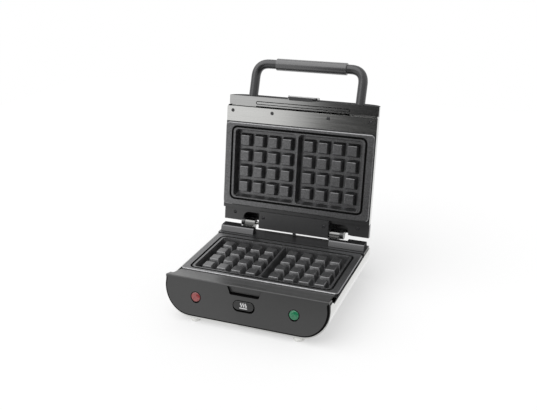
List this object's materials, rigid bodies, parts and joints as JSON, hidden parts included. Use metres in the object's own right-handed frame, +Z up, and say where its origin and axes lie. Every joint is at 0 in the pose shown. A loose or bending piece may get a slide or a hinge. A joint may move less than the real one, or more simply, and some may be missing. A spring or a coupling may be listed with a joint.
{
  "type": "waffle maker",
  "caption": "Hinged sandwich and waffle maker with removable block-pattern plates, a bent-tube handle, a front clip and a rounded steel base.",
  "frame": {"origin": "middle of the bounding box with the lid open, on the table under the feet", "axes": "+Z up, -Y the front with the lamps and the button, +X to the right seen from the front"},
  "size_m": [0.254, 0.301, 0.3354],
  "materials": {
    "brushed_cover": "brushed",
    "fascia": "satin",
    "black_plastic": "satin",
    "hinge_steel": "polished",
    "hinge_paint": "satin metallic grey",
    "non_stick": "dark non-stick coating",
    "handle_paint": "satin dark grey",
    "grip": "satin",
    "red_lens": "translucent",
    "green_lens": "translucent",
    "pale_rubber": "matt",
    "reflector": "mill finish",
    "element": "heat-darkened",
    "ceramic": "matt",
    "screw": "blackened"
  },
  "bodies": {
    "base": {"base_shell": "brushed_cover", "front_fascia": "fascia", "lower_plate_frame": "black_plastic", "rear_housing": "black_plastic", "hinge_block_left": "hinge_paint", "hinge_block_right": "hinge_paint", "hinge_knuckle_left": "hinge_steel", "hinge_knuckle_right": "hinge_steel", "foot_front_left": "pale_rubber", "foot_front_right": "pale_rubber", "foot_rear_left": "pale_rubber", "foot_rear_right": "pale_rubber", "red_lamp_lens": "red_lens", "green_lamp_lens": "green_lens", "catch_pin": "hinge_steel", "lower_reflector": "reflector", "lower_heating_element": "element", "thermostat": "ceramic", "terminal_block": "ceramic", "cord_gland": "black_plastic"},
    "lid": {"lid_front_trim": "brushed_cover", "lid_cover": "brushed_cover", "lid_inner_frame": "brushed_cover", "lid_rear_panel": "black_plastic", "hinge_pin_left": "hinge_steel", "hinge_pin_right": "hinge_steel", "strip_screw_1": "screw", "strip_screw_2": "screw", "strip_screw_3": "screw", "strip_screw_4": "screw", "rear_screw_1": "screw", "rear_screw_2": "screw", "rear_screw_3": "screw", "rear_screw_4": "screw", "handle_tube": "handle_paint", "handle_grip": "grip", "latch_pin": "hinge_steel", "upper_reflector": "reflector", "upper_heating_element": "element"},
    "latch": {"latch_clip": "black_plastic"},
    "button": {"release_button": "black_plastic"},
    "catch": {"plate_catch": "hinge_steel"},
    "lower_plate": {"lower_waffle_plate": "non_stick"},
    "upper_plate": {"upper_waffle_plate": "non_stick"}
  },
  "joints": [
    {"name": "lid_hinge", "type": "hinge", "parent": "base", "child": "lid", "pos_m": [0, 0.06805, 0.073], "axis": [1, 0, 0], "range_deg": [0, 100]},
    {"name": "latch_pivot", "type": "hinge", "parent": "lid", "child": "latch", "pos_m": [0, 0.11182, 0.28096], "axis": [-1, 0, 0], "range_deg": [0, 20], "stiffness_Nm_per_rad": 0.05, "springref_deg": -5.73},
    {"name": "release_button", "type": "slide", "parent": "base", "child": "button", "axis": [0, 0.9877, -0.1564], "range_m": [0, 0.003], "stiffness_N_per_m": 400, "springref_m": -0.001},
    {"name": "catch_pivot", "type": "hinge", "parent": "base", "child": "catch", "pos_m": [0, -0.10795, 0.044], "axis": [1, 0, 0], "range_deg": [0, 24.1]},
    {"name": "lower_plate_lift", "type": "slide", "parent": "base", "child": "lower_plate", "axis": [0, 0, -1], "range_m": [-0.03, 0]},
    {"name": "upper_plate_lift", "type": "slide", "parent": "lid", "child": "upper_plate", "axis": [0, 0.9848, -0.1736], "range_m": [-0.03, 0]}
  ],
  "couplings": [
    {"joint": "catch_pivot", "follows": "release_button", "rad_per_m": 140}
  ]
}
